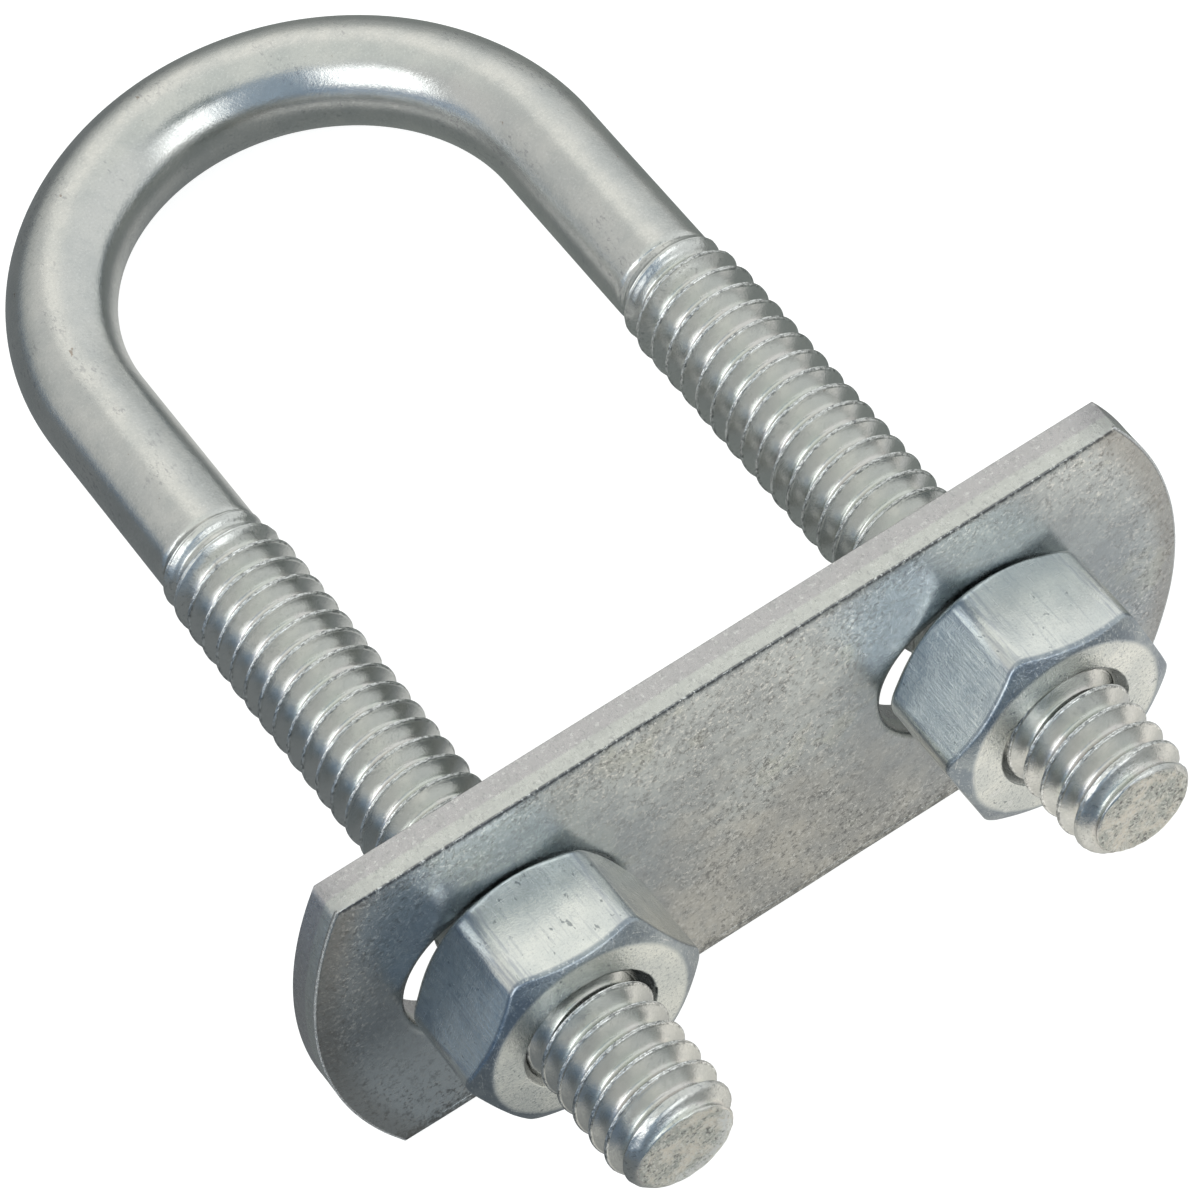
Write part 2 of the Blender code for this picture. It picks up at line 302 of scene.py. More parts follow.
def make_rod(material):
    """Both threaded legs, the plain shanks and the half circle, as one closed surface."""
    shape = bmesh.new()
    count = ROD_COLUMNS
    angles = [TAU * index / count for index in range(count)]
    left = leg_radius(-LEG_X, LEFT_LEG_END_Y, LEFT_CUT_RADIUS, 11.3)
    right = leg_radius(LEG_X, RIGHT_LEG_END_Y, RIGHT_CUT_RADIUS, 4.7)
    left_low, left_high = helical_wall(
        shape, -LEG_X, LEFT_CREST_Y, LEFT_LEG_END_Y, THREAD_START_Y, angles, left
    )
    right_low, right_high = helical_wall(
        shape, LEG_X, RIGHT_CREST_Y, RIGHT_LEG_END_Y, THREAD_START_Y, angles, right
    )
    cut_face(shape, left_low, -LEG_X, LEFT_LEG_END_Y, 2.1)
    cut_face(shape, right_low, LEG_X, RIGHT_LEG_END_Y, 9.4)

    stations = []
    shank = BEND_CENTRE_Y - THREAD_START_Y
    lead = (0.05, 0.10, 0.18, 0.4, 0.8, 1.4)
    heights = [THREAD_START_Y + step * MM for step in lead]
    heights += [THREAD_START_Y + shank * step / 12 for step in range(3, 12)]
    for y in heights:
        stations.append((Vector((-LEG_X, y, 0)), Vector((-1, 0, 0)), y - THREAD_START_Y))
    for step in range(BEND_RINGS + 1):
        turn = math.pi * step / BEND_RINGS
        outward = Vector((-math.cos(turn), math.sin(turn), 0))
        stations.append((Vector((0, BEND_CENTRE_Y, 0)) + outward * LEG_X, outward, shank))
    for y in reversed(heights):
        stations.append((Vector((LEG_X, y, 0)), Vector((1, 0, 0)), y - THREAD_START_Y))

    ring = [left_high[(index + count // 2) % count] for index in range(count)]
    for centre, outward, distance in stations:
        next_ring = []
        for index in range(count):
            angle = TAU * index / count
            spoke = outward * math.cos(angle) + Vector((0, 0, 1)) * math.sin(angle)
            place = centre + spoke * SHANK_RADIUS
            dent = wobble(place.x, place.y, place.z, 5.5 * MM, 1.7)
            radius = SHANK_RADIUS + 0.012 * MM * dent
            radius -= 0.04 * MM * (1 - smooth(distance, 0.03 * MM, 0.16 * MM))
            next_ring.append(shape.verts.new(centre + spoke * radius))
        bridge(shape, ring, next_ring)
        ring = next_ring
    last = [right_high[-index % count] for index in range(count)]
    bridge(shape, ring, last)
    return link("u_bolt_rod", shape, "u_bolt", "u_bolt", material)


# ---------------------------------------------------------------- the nuts
def nut_angles(corner):
    """Angles round a nut, close together near its rounded corners."""
    steps = (0, 1, 2, 3, 4, 5, 5.8, 6.4, 7.2, 9, 11.5, 14.5, 18, 22, 26)
    offsets = [-step for step in reversed(steps[1:])] + list(steps) + [30]
    angles = []
    for side in range(6):
        for offset in offsets:
            angles.append((corner + math.radians(60 * side + offset)) % TAU)
    return sorted(angles)


def hexagon_radius(angle, corner, fillet):
    """Distance from the axis to a hexagon with rounded corners."""
    offset = (angle - corner + math.pi / 6) % (math.pi / 3) - math.pi / 6
    offset = abs(offset)
    half = NUT_ACROSS_FLATS / 2
    centre = (half - fillet) / math.cos(math.pi / 6)
    tangent = math.atan2(fillet * 0.5, centre + fillet * math.cos(math.pi / 6))
    if offset < tangent:
        inside = fillet ** 2 - (centre * math.sin(offset)) ** 2
        return centre * math.cos(offset) + math.sqrt(max(inside, 0))
    return half / math.cos(math.pi / 6 - offset)


def rounded(before, corner, after, steps):
    """Points along a quadratic curve that replaces a corner."""
    points = []
    for step in range(steps + 1):
        t = step / steps
        points.append(before * (1 - t) ** 2 + corner * 2 * t * (1 - t) + after * t * t)
    return points


def nut_meridian(edge, softness):
    """(radius, drop) points from the mouth's rim over the face and chamfer to the nut's side."""
    face = Vector((NUT_FACE_RADIUS, 0))
    drop = (edge - NUT_FACE_RADIUS) * NUT_SLOPE
    shoulder = Vector((edge, drop))
    slope = (shoulder - face).normalized()
    span = (shoulder - face).length
    ease = min(0.07 * MM, 0.3 * span)
    round_off = min(softness, 0.48 * span)
    points = [
        Vector((NUT_MOUTH_RADIUS + 0.05 * MM, 0)),
        Vector((NUT_MOUTH_RADIUS + 0.25 * MM, 0)),
        Vector((0.5 * (NUT_MOUTH_RADIUS + NUT_FACE_RADIUS), 0)),
        Vector((NUT_FACE_RADIUS - 0.3 * MM, 0)),
    ]
    points += rounded(face - Vector((ease, 0)), face, face + slope * ease, 3)
    start = face + slope * ease
    end = shoulder - slope * round_off
    points += [start + (end - start) * share for share in (0.33, 0.67)]
    points += rounded(end, shoulder, shoulder + Vector((0, round_off)), 5)
    return points


CHAMFER_LEVEL = 7  # the first ring of nut_meridian that lies on the chamfer


def make_nut(name, x, crest_y, corner, body, material, seed):
    """A double chamfered hex nut with a thread that meshes with its leg."""
    shape = bmesh.new()
    angles = nut_angles(corner)
    seat, outer = NUT_HIGH.y, NUT_LOW.y
    grown = MAJOR_RADIUS + THREAD_CLEARANCE

    def bore(y, height, angle):
        if height is None:
            return NUT_MOUTH_RADIUS - 0.03 * MM
        form = MINOR_RADIUS + THREAD_CLEARANCE + (grown - MINOR_RADIUS - THREAD_CLEARANCE) * height
        mouth = NUT_MOUTH_RADIUS - min(y - outer, seat - y)
        return max(form, mouth)

    low_ring, high_ring = helical_wall(shape, x, crest_y, outer, seat, angles, bore)

    edges = [hexagon_radius(angle, corner, NUT_EDGE_RADIUS) for angle in angles]

    def rings(base, sense, softness):
        profiles = [nut_meridian(edge, softness) for edge in edges]
        made = []
        for level in range(len(profiles[0])):
            ring = []
            for index, angle in enumerate(angles):
                radius, drop = profiles[index][level]
                place = Vector((x, base + sense * drop, 0)) + around(angle) * radius
                dent = wobble(place.x, place.y, place.z, 1.8 * MM, seed)
                if level >= CHAMFER_LEVEL:
                    place += around(angle) * 0.012 * MM * dent
                ring.append(shape.verts.new(place))
            made.append(ring)
        return made

    top = rings(outer, 1, 0.13 * MM)
    bottom = rings(seat, -1, 0.34 * MM)
    for stack, start in ((top, low_ring), (bottom, high_ring)):
        previous = start
        for ring in stack:
            bridge(shape, previous, ring)
            previous = ring
    middle = []
    for share in (0.3, 0.5, 0.7):
        ring = []
        for index, angle in enumerate(angles):
            first, second = top[-1][index].co, bottom[-1][index].co
            ring.append(shape.verts.new(first.lerp(second, share)))
        middle.append(ring)
    previous = top[-1]
    for ring in middle + [bottom[-1]]:
        bridge(shape, previous, ring)
        previous = ring
    return link(f"{name}_hex", shape, body, name, material)


# ---------------------------------------------------------------- the plate
def arc(centre_x, radius, start, end, steps):
    """Points (x, z) and outward directions on an arc about (centre_x, 0)."""
    made = []
    for step in range(steps + 1):
        angle = start + (end - start) * step / steps
        way = Vector((math.cos(angle), math.sin(angle)))
        made.append((Vector((centre_x, 0)) + way * radius, way))
    return made


def outline_loop():
    """The plate's edge anticlockwise as (point, direction out of the metal, kind)."""
    half_width = PLATE_HIGH.z
    centre = PLATE_HIGH.x - PLATE_END_RADIUS
    reach = math.asin(half_width / PLATE_END_RADIUS)
    right = arc(centre, PLATE_END_RADIUS, -reach, reach, 44)
    corner_x = right[-1][0].x
    inner_x = corner_x - 2.3 * MM
    top = [
        (Vector((inner_x + (-2 * inner_x) * step / 56, half_width)), Vector((0, 1)))
        for step in range(57)
    ]
    loop = []
    for sign in (1, -1):
        for index, (point, way) in enumerate(right):
            end = index in (0, len(right) - 1)
            loop.append((sign * point, sign * way, "corner" if end else "arc"))
        for point, way in top:
            loop.append((sign * point, sign * way, "edge"))
    return loop


def slot_loop(leg_x):
    """A slot's edge as (point, direction into the plate's metal, kind)."""
    x = leg_x + SLOT_SHIFT
    radius = SLOT_WIDTH / 2
    reach = (SLOT_LENGTH - SLOT_WIDTH) / 2
    quarter = math.pi / 2
    loop = []
    for sign in (1, -1):
        for point, way in arc(reach, radius, -quarter, quarter, 36):
            loop.append((sign * point + Vector((x, 0)), sign * way, "slot"))
        for step in range(1, 6):
            place = Vector((reach - 2 * reach * step / 6, radius))
            loop.append((sign * place + Vector((x, 0)), sign * Vector((0, 1)), "slot"))
    return loop


# Each kind of edge on the nut side, in mm from the wall and below the face
EDGE_PROFILES = {
    "arc": (
        (1.9, 0), (1.55, 0.004), (1.2, 0.022), (0.85, 0.058), (0.5, 0.104), (0.2, 0.146),
        (0.07, 0.166), (0.02, 0.184), (0, 0.24),
    ),
    "edge": (
        (0.62, 0), (0.48, 0.004), (0.36, 0.014), (0.24, 0.032), (0.13, 0.056), (0.06, 0.076),
        (0.025, 0.092), (0.007, 0.11), (0, 0.15),
    ),
    "slot": (
        (0.5, 0), (0.40, 0.008), (0.30, 0.028), (0.21, 0.058), (0.135, 0.1), (0.08, 0.15),
        (0.035, 0.215), (0.01, 0.29), (0, 0.38),
    ),
}


def edge_step(point, way, kind, level, into_metal):
    """How far a point on the nut side steps into the metal, and how far it drops."""
    if kind != "corner":
        width, drop = EDGE_PROFILES[kind][level]
        return way * width * into_metal, drop
    arc_width, arc_drop = EDGE_PROFILES["arc"][level]
    edge_width, edge_drop = EDGE_PROFILES["edge"][level]
    crossing = Matrix((way, Vector((0, math.copysign(1, point.y)))))
    step = crossing.inverted() @ Vector((arc_width, edge_width)) * into_metal
    return step, 0.5 * (arc_drop + edge_drop)


def loop_rings(shape, loop, into_metal, seed):
    """Rings from the nut side's flat face, over the edge and down the wall to the clamp face.

    into_metal is -1 where the loop's directions point out of the metal, and 1 where they point in.
    """
    front, back = PLATE_LOW.y, PLATE_HIGH.y
    levels = len(EDGE_PROFILES["arc"])
    stacks = []
    for point, way, kind in loop:
        rough = 1 + 0.12 * wobble(point.x, 0, point.y, 2.6 * MM, seed)
        stack = []
        for level in range(levels):
            step, drop = edge_step(point, way, kind, level, into_metal)
            place = point + step * MM
            stack.append((place.x, front + drop * rough * MM, place.y))
        wall = stack[-1][1]
        for share in (0.15, 0.3, 0.45, 0.6, 0.75, 0.88):
            grain = wobble(point.x, share * 4 * MM, point.y, 0.5 * MM, seed + 5)
            pull = (0.014 + 0.014 * grain) * (1 if share > 0.4 else 0.4)
            place = point + way * into_metal * pull * MM
            stack.append((place.x, wall + (back - wall) * share, place.y))
        stack.append((point.x, back - 0.05 * MM, point.y))
        stack.append((point.x, back - 0.015 * MM, point.y))
        place = point + way * into_metal * 0.05 * MM
        stack.append((place.x, back, place.y))
        stacks.append(stack)
    rings = []
    for level in range(len(stacks[0])):
        rings.append([shape.verts.new(stack[level]) for stack in stacks])
    for lower, upper in zip(rings, rings[1:]):
        bridge(shape, lower, upper)
    return rings[0], rings[-1]


def make_plate(material):
    """A punched strip: rolled-over edges on the nut side, sheared walls, a flat clamping face."""
    shape = bmesh.new()
    front, back = [], []
    loops = ((outline_loop(), -1, 1.0), (slot_loop(-LEG_X), 1, 2.0), (slot_loop(LEG_X), 1, 3.0))
    for loop, into_metal, seed in loops:
        first, last = loop_rings(shape, loop, into_metal, seed)
        front.append(first)
        back.append(last)
    for side in (front, back):
        corners = [vertex for ring in side for vertex in ring]
        flat = [[Vector((vertex.co.x, vertex.co.z, 0)) for vertex in ring] for ring in side]
        for triangle in tessellate_polygon(flat):
            shape.faces.new([corners[index] for index in triangle])
    return link("clamp_plate_punched", shape, "clamp_plate", "clamp_plate", material)


# ---------------------------------------------------------------- materials
# Each kind of data in a Mix node: the numbers of its two inputs and its output
MIX_SOCKETS = {"VECTOR": (4, 5, 1), "RGBA": (6, 7, 2)}


class Nodes:
    """Short calls that add and join shader nodes."""

    def __init__(self, tree):
        self.tree = tree
        tree.nodes.clear()

    def add(self, kind, **settings):
        node = self.tree.nodes.new(kind)
        for name, value in settings.items():
            setattr(node, name, value)
        return node

    def join(self, source, target):
        self.tree.links.new(source, target)

    def feed(self, value, socket):
        if isinstance(value, bpy.types.NodeSocket):
            self.join(value, socket)
        else:
            socket.default_value = value

    def math(self, operation, first, second=0.0):
        node = self.add("ShaderNodeMath", operation=operation)
        for value, socket in zip((first, second), node.inputs):
            self.feed(value, socket)
        return node.outputs[0]

    def times(self, first, second):
        return self.math("MULTIPLY", first, second)

    def plus(self, first, second):
        return self.math("ADD", first, second)

    def minus(self, first, second):
        return self.math("SUBTRACT", first, second)

    def larger(self, first, second):
        return self.math("MAXIMUM", first, second)

    def ramp(self, value, low, high, start=0.0, end=1.0):
        """start where value is low, end where it is high, smooth between. low may be the larger."""
        node = self.add("ShaderNodeMapRange", interpolation_type="SMOOTHSTEP")
        for item, socket in zip((value, low, high, start, end), node.inputs):
            self.feed(item, socket)
        return node.outputs[0]

    def blend(self, kind, share, first, second):
        """A Mix node for one kind of data, whose sockets have the same names for every kind."""
        first_socket, second_socket, output = MIX_SOCKETS[kind]
        node = self.add("ShaderNodeMix", data_type=kind)
        self.feed(share, node.inputs[0])
        self.feed(first, node.inputs[first_socket])
        self.feed(second, node.inputs[second_socket])
        return node.outputs[output]

    def mix(self, share, first, second):
        return self.blend("RGBA", share, first, second)

    def noise(self, place, scale, detail=3.0, roughness=0.5, distortion=0.0):
        node = self.add("ShaderNodeTexNoise")
        self.join(place, node.inputs["Vector"])
        node.inputs["Scale"].default_value = scale
        node.inputs["Detail"].default_value = detail
        node.inputs["Roughness"].default_value = roughness
        node.inputs["Distortion"].default_value = distortion
        return node.outputs["Fac"]

    def stretch(self, place, scale, turn=(0, 0, 0)):
        node = self.add("ShaderNodeMapping")
        self.join(place, node.inputs["Vector"])
        node.inputs["Scale"].default_value = scale
        node.inputs["Rotation"].default_value = turn
        return node.outputs["Vector"]

    def bump(self, height, strength, distance, normal=None):
        node = self.add("ShaderNodeBump")
        node.inputs["Strength"].default_value = strength
        node.inputs["Distance"].default_value = distance
        self.join(height, node.inputs["Height"])
        if normal is not None:
            self.join(normal, node.inputs["Normal"])
        return node.outputs["Normal"]


def new_material(name):
    material = bpy.data.materials.new(name)
    material.use_nodes = True
    return material, Nodes(material.node_tree)


def colour(red, green, blue):
    return (red, green, blue, 1.0)


def finish_metal(nodes, base, roughness, normal):
    shader = nodes.add("ShaderNodeBsdfPrincipled")
    shader.inputs["Metallic"].default_value = 1.0
    nodes.feed(base, shader.inputs["Base Color"])
    nodes.feed(roughness, shader.inputs["Roughness"])
    nodes.join(normal, shader.inputs["Normal"])
    output = nodes.add("ShaderNodeOutputMaterial")
    nodes.join(shader.outputs[0], output.inputs["Surface"])


def millimetres(nodes):
    """Object coordinates scaled so that one unit is a millimetre."""
    place = nodes.add("ShaderNodeTexCoord").outputs["Object"]
    return nodes.stretch(place, (1 / MM, 1 / MM, 1 / MM))


def split_place(nodes, place):
    split = nodes.add("ShaderNodeSeparateXYZ")
    nodes.join(place, split.inputs[0])
    return split.outputs


def facing_parts(nodes):
    """The surface normal's X, Y and Z."""
    return split_place(nodes, nodes.add("ShaderNodeNewGeometry").outputs["Normal"])


def leg_distance(nodes, x, z):
    """Distance in millimetres from the nearer leg's axis."""
    aside = nodes.minus(nodes.math("ABSOLUTE", x), LEG_X / MM)
    squares = nodes.plus(nodes.times(aside, aside), nodes.times(z, z))
    return nodes.math("SQRT", squares)


def rod_material():
    """Bright zinc over a drawn rod, with a rough sheared end on each leg."""
    material, nodes = new_material("zinc_rod")
    place = millimetres(nodes)
    x, y, z = split_place(nodes, place)
    cloud = nodes.noise(place, 0.4, 5.0, 0.6)
    blotch = nodes.noise(place, 1.5, 6.0, 0.66)
    grain = nodes.noise(place, 8.0, 4.0, 0.7)
    fine = nodes.noise(place, 30.0, 2.0, 0.6)
    tint = nodes.mix(nodes.ramp(cloud, 0.38, 0.62), colour(0.66, 0.67, 0.66), colour(0.74, 0.74, 0.72))
    tint = nodes.mix(nodes.ramp(blotch, 0.5, 0.70, 0.0, 0.30), tint, colour(0.55, 0.57, 0.57))
    tint = nodes.mix(nodes.ramp(grain, 0.52, 0.70, 0.0, 0.30), tint, colour(0.52, 0.53, 0.53))
    tint = nodes.mix(nodes.ramp(grain, 0.46, 0.32, 0.0, 0.35), tint, colour(0.93, 0.94, 0.93))
    # Brown specks, and marks where the rod was rubbed
    specks = nodes.noise(nodes.stretch(place, (2.4, 1.3, 2.4)), 1.0, 4.0, 0.65)
    tint = nodes.mix(nodes.ramp(specks, 0.685, 0.735, 0.0, 0.75), tint, colour(0.36, 0.29, 0.24))
    zones = nodes.noise(nodes.stretch(place, (0.35, 0.2, 0.35)), 1.0, 3.0, 0.5)
    marks = nodes.noise(nodes.stretch(place, (5.0, 2.5, 5.0)), 1.0, 5.0, 0.7)
    rubbed = nodes.times(nodes.ramp(zones, 0.52, 0.62), nodes.ramp(marks, 0.54, 0.62, 0.0, 0.55))
    tint = nodes.mix(rubbed, tint, colour(0.40, 0.40, 0.42))
    rough = nodes.ramp(blotch, 0.3, 0.75, 0.10, 0.20)
    rough = nodes.plus(rough, nodes.ramp(grain, 0.35, 0.75, 0.0, 0.07))

    # Threads: brighter above the plate, dotted crests with painted glints, a faint film in the roots
    thread_start = THREAD_START_Y / MM
    crest_radius = MAJOR_RADIUS / MM
    root_radius = MINOR_RADIUS / MM
    threaded = nodes.ramp(y, thread_start + 0.3, thread_start - 0.1)
    brighter = nodes.times(threaded, nodes.ramp(y, -8.0, 2.0, 0.16, 0.40))
    tint = nodes.mix(brighter, tint, colour(0.86, 0.87, 0.85))
    reach = leg_distance(nodes, x, z)
    crest = nodes.times(threaded, nodes.ramp(reach, crest_radius - 0.13, crest_radius - 0.05))
    dots = nodes.noise(nodes.stretch(place, (3.0, 9.0, 3.0)), 1.0, 4.0, 0.75)
    dark_dots = nodes.times(crest, nodes.ramp(dots, 0.50, 0.62, 0.0, 0.75))
    tint = nodes.mix(dark_dots, tint, colour(0.22, 0.23, 0.24))
    # Painted highlight: pale dots along the crests stand in for glints
    crest_glints = nodes.times(crest, nodes.ramp(dots, 0.50, 0.40))
    tint = nodes.mix(crest_glints, tint, colour(0.96, 0.97, 0.97))
    root = nodes.times(threaded, nodes.ramp(reach, root_radius + 0.22, root_radius + 0.02))
    film = nodes.mix(nodes.ramp(cloud, 0.42, 0.58), colour(0.80, 0.84, 0.74), colour(0.88, 0.81, 0.78))
    tint = nodes.mix(nodes.times(root, 0.38), tint, film)
    rough = nodes.plus(rough, nodes.times(root, 0.07))

    normal = nodes.bump(cloud, 0.05, 0.6 * MM)
    normal = nodes.bump(blotch, 0.10, 0.06 * MM, normal)
    normal = nodes.bump(grain, 0.28, 0.03 * MM, normal)
    normal = nodes.bump(fine, 0.12, 0.01 * MM, normal)
    normal = nodes.bump(nodes.times(crest, dots), 0.6, 0.06 * MM, normal)

    # Scuffs near the leg ends and where the threads start, fewer in between
    left_end_y = LEFT_LEG_END_Y / MM
    right_end_y = RIGHT_LEG_END_Y / MM
    right_leg = nodes.ramp(x, -0.5, 0.5)
    near_left_end = nodes.ramp(y, left_end_y + 2.2, left_end_y + 0.9)
    near_right_end = nodes.times(nodes.ramp(y, right_end_y + 2.2, right_end_y + 0.9), right_leg)
    ends = nodes.larger(near_left_end, near_right_end)
    start = nodes.times(threaded, nodes.ramp(y, thread_start - 3.6, thread_start - 2.0))
    worn = nodes.larger(nodes.larger(ends, start), nodes.times(threaded, 0.30))
    scuffs = nodes.noise(place, 5.0, 6.0, 0.75)
    scuffed = nodes.times(worn, nodes.ramp(scuffs, 0.54, 0.64, 0.0, 0.45))
    tint = nodes.mix(scuffed, tint, colour(0.25, 0.26, 0.27))
    normal = nodes.bump(nodes.times(worn, scuffs), 0.26, 0.06 * MM, normal)

    # Cut faces: patches, crumbs and pits, and a painted highlight: a bright rim on one side of the left
    # one, where its burr catches the light
    facing = facing_parts(nodes)
    left_end = nodes.ramp(y, left_end_y + 0.28, left_end_y + 0.20)
    right_end = nodes.times(nodes.ramp(y, right_end_y + 0.28, right_end_y + 0.20), right_leg)
    at_end = nodes.larger(left_end, right_end)
    cut = nodes.times(nodes.ramp(facing[1], -0.80, -0.93), at_end)
    patch = nodes.noise(place, 0.8, 5.0, 0.65, 0.4)
    pits = nodes.noise(place, 4.2, 6.0, 0.78, 0.3)
    crumbs = nodes.noise(nodes.stretch(place, (1, 1, 1), (0.4, 0.9, 0.2)), 6.0, 5.0, 0.76)
    cut_tint = nodes.mix(nodes.ramp(patch, 0.36, 0.64), colour(0.60, 0.62, 0.58), colour(0.95, 0.90, 0.81))
    cut_tint = nodes.mix(nodes.ramp(crumbs, 0.50, 0.57, 0.0, 0.85), cut_tint, colour(1.0, 0.99, 0.94))
    pitted = nodes.times(nodes.ramp(pits, 0.53, 0.59), nodes.ramp(patch, 0.46, 0.60, 0.9, 0.25))
    cut_tint = nodes.mix(pitted, cut_tint, colour(0.20, 0.19, 0.18))
    slant = nodes.minus(x, z)
    left_axis = -LEG_X / MM
    one_side = nodes.ramp(slant, left_axis + 0.5, left_axis + 1.6)
    # Painted highlight: this bright rim stands in for light caught by the burr
    rim = nodes.times(nodes.ramp(reach, 1.55, 2.05), one_side)
    rim = nodes.times(rim, nodes.minus(1.0, right_leg))
    rim = nodes.times(rim, nodes.ramp(crumbs, 0.40, 0.50))
    cut_tint = nodes.mix(rim, cut_tint, colour(1.0, 1.0, 0.98))
    tint = nodes.mix(cut, tint, cut_tint)
    rough = nodes.plus(rough, nodes.times(cut, 0.15))
    cut_bump = nodes.bump(pits, 1.0, 0.22 * MM)
    finish_metal(nodes, tint, rough, nodes.blend("VECTOR", cut, normal, cut_bump))
    return material


def nut_material():
    """Bright bluish zinc with drawing lines, small dents and fine handling scratches."""
    material, nodes = new_material("zinc_nut")
    place = millimetres(nodes)
    x, y, z = split_place(nodes, place)
    facing = facing_parts(nodes)
    cloud = nodes.noise(place, 0.55, 5.0, 0.62)
    blotch = nodes.noise(place, 2.2, 6.0, 0.7)
    grain = nodes.noise(place, 9.0, 4.0, 0.7)
    drawn = nodes.noise(nodes.stretch(place, (5.5, 0.45, 5.5)), 1.0, 4.0, 0.6)
    dents = nodes.noise(nodes.stretch(place, (3.6, 1.7, 3.6), (0.0, 0.3, 0.0)), 1.0, 3.0, 0.6)
    scratch = nodes.noise(nodes.stretch(place, (0.8, 24, 0.8), (0.3, 0.2, 0.5)), 1.0, 2.0, 0.5)
    cross = nodes.noise(nodes.stretch(place, (22, 1.0, 1.0), (0.2, 0.6, -0.4)), 1.0, 2.0, 0.5)
    tint = nodes.mix(nodes.ramp(cloud, 0.38, 0.62), colour(0.80, 0.83, 0.815), colour(0.95, 0.965, 0.925))
    tint = nodes.mix(nodes.ramp(blotch, 0.5, 0.72, 0.0, 0.40), tint, colour(0.58, 0.62, 0.65))
    tint = nodes.mix(nodes.ramp(grain, 0.52, 0.70, 0.0, 0.35), tint, colour(0.46, 0.49, 0.52))
    tint = nodes.mix(nodes.ramp(grain, 0.46, 0.33, 0.0, 0.35), tint, colour(0.96, 0.97, 0.96))
    tint = nodes.mix(nodes.ramp(dents, 0.66, 0.70, 0.0, 0.75), tint, colour(0.26, 0.29, 0.31))

    # Drawing lines on the sides and corners, crumbs on the faces
    face = nodes.ramp(nodes.math("ABSOLUTE", facing[1]), 0.35, 0.6)
    side = nodes.minus(1.0, face)
    reach = leg_distance(nodes, x, z)
    corner = nodes.times(side, nodes.ramp(reach, 5.75, 6.05))
    corner_lines = nodes.times(corner, nodes.ramp(drawn, 0.42, 0.60, 0.0, 0.65))
    tint = nodes.mix(corner_lines, tint, colour(0.52, 0.55, 0.60))
    side_lines = nodes.times(side, nodes.ramp(drawn, 0.56, 0.64, 0.0, 0.30))
    tint = nodes.mix(side_lines, tint, colour(0.50, 0.54, 0.58))
    crumbs = nodes.noise(place, 6.0, 4.0, 0.7)
    face_crumbs = nodes.times(face, nodes.ramp(crumbs, 0.54, 0.64, 0.0, 0.55))
    tint = nodes.mix(face_crumbs, tint, colour(0.34, 0.37, 0.41))
    # Painted shade: darker chamfers, painted as a dark blue reflection, and a dark band painted in the
    # mouths
    outward = nodes.minus(reach, NUT_FACE_RADIUS / MM)
    depth = nodes.minus(y, NUT_LOW.y / MM)
    depth = nodes.minus(depth, nodes.times(outward, NUT_SLOPE))
    chamfer = nodes.times(nodes.ramp(outward, -0.26, 0.06), nodes.ramp(depth, 0.30, 0.12))
    dark = nodes.mix(nodes.ramp(cloud, 0.40, 0.60), colour(0.26, 0.31, 0.375), colour(0.42, 0.47, 0.51))
    dark = nodes.mix(nodes.ramp(crumbs, 0.56, 0.64, 0.0, 0.6), dark, colour(0.85, 0.88, 0.90))
    tint = nodes.mix(nodes.times(chamfer, 0.88), tint, dark)
    # Painted shade inside the mouths, where the gap round the thread is dark
    mouth = nodes.ramp(reach, NUT_MOUTH_RADIUS / MM + 0.02, NUT_MOUTH_RADIUS / MM - 0.12)
    tint = nodes.mix(nodes.times(mouth, 0.66), tint, colour(0.22, 0.23, 0.23))
    # Handling scratches
    lines = nodes.larger(nodes.ramp(scratch, 0.67, 0.71), nodes.ramp(cross, 0.68, 0.72))
    tint = nodes.mix(nodes.times(lines, 0.5), tint, colour(0.97, 0.98, 0.98))

    rough = nodes.ramp(blotch, 0.3, 0.75, 0.15, 0.27)
    rough = nodes.plus(rough, nodes.times(lines, 0.08))
    normal = nodes.bump(cloud, 0.05, 0.5 * MM)
    normal = nodes.bump(nodes.times(side, drawn), 0.25, 0.04 * MM, normal)
    normal = nodes.bump(grain, 0.30, 0.03 * MM, normal)
    normal = nodes.bump(nodes.times(face, crumbs), 0.45, 0.06 * MM, normal)
    finish_metal(nodes, tint, rough, normal)
    return material


